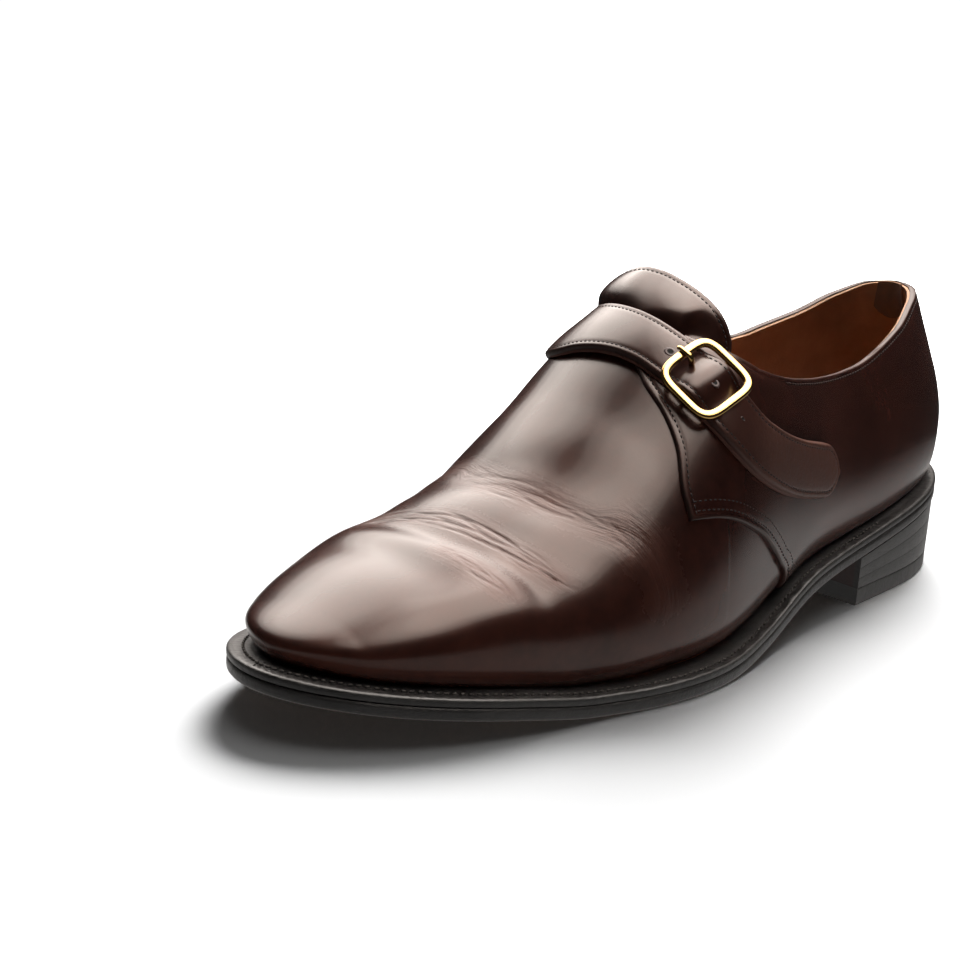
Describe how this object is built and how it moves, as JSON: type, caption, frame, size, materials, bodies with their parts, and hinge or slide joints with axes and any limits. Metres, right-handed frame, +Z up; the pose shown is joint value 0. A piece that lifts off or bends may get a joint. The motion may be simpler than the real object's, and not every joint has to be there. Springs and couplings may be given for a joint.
{
  "type": "monk strap shoe",
  "caption": "Low leather dress shoe for the left foot with a plain toe, an instep strap held by a square buckle, a welted sole and a stacked heel.",
  "frame": {"origin": "centre of the shoe's footprint on the floor", "axes": "+Z up from the floor, toe towards -Y, heel towards +Y, lateral side with the buckle towards +X"},
  "size_m": [0.1074, 0.304, 0.1124],
  "materials": {
    "upper_leather": "polished calf, soft sheen",
    "strap_leather": "polished calf with a fine grain",
    "lining_leather": "matt vegetable-tanned leather",
    "edge_leather": "black waxed edge",
    "heel_leather": "black waxed stacked leather",
    "rubber": "matt, lightly worn",
    "brass": "polished, a little worn"
  },
  "bodies": {
    "root": {"upper": "upper_leather", "tongue": "upper_leather", "quarter_lateral": "upper_leather", "quarter_medial_strap": "strap_leather", "heel_tab": "upper_leather", "insole": "lining_leather", "welt": "edge_leather", "outsole": "edge_leather", "buckle_frame": "brass", "buckle_prong": "brass", "heel_top_piece": "rubber", "heel_lift_1": "heel_leather", "heel_lift_2": "heel_leather", "heel_lift_3": "heel_leather"}
  },
  "joints": []
}
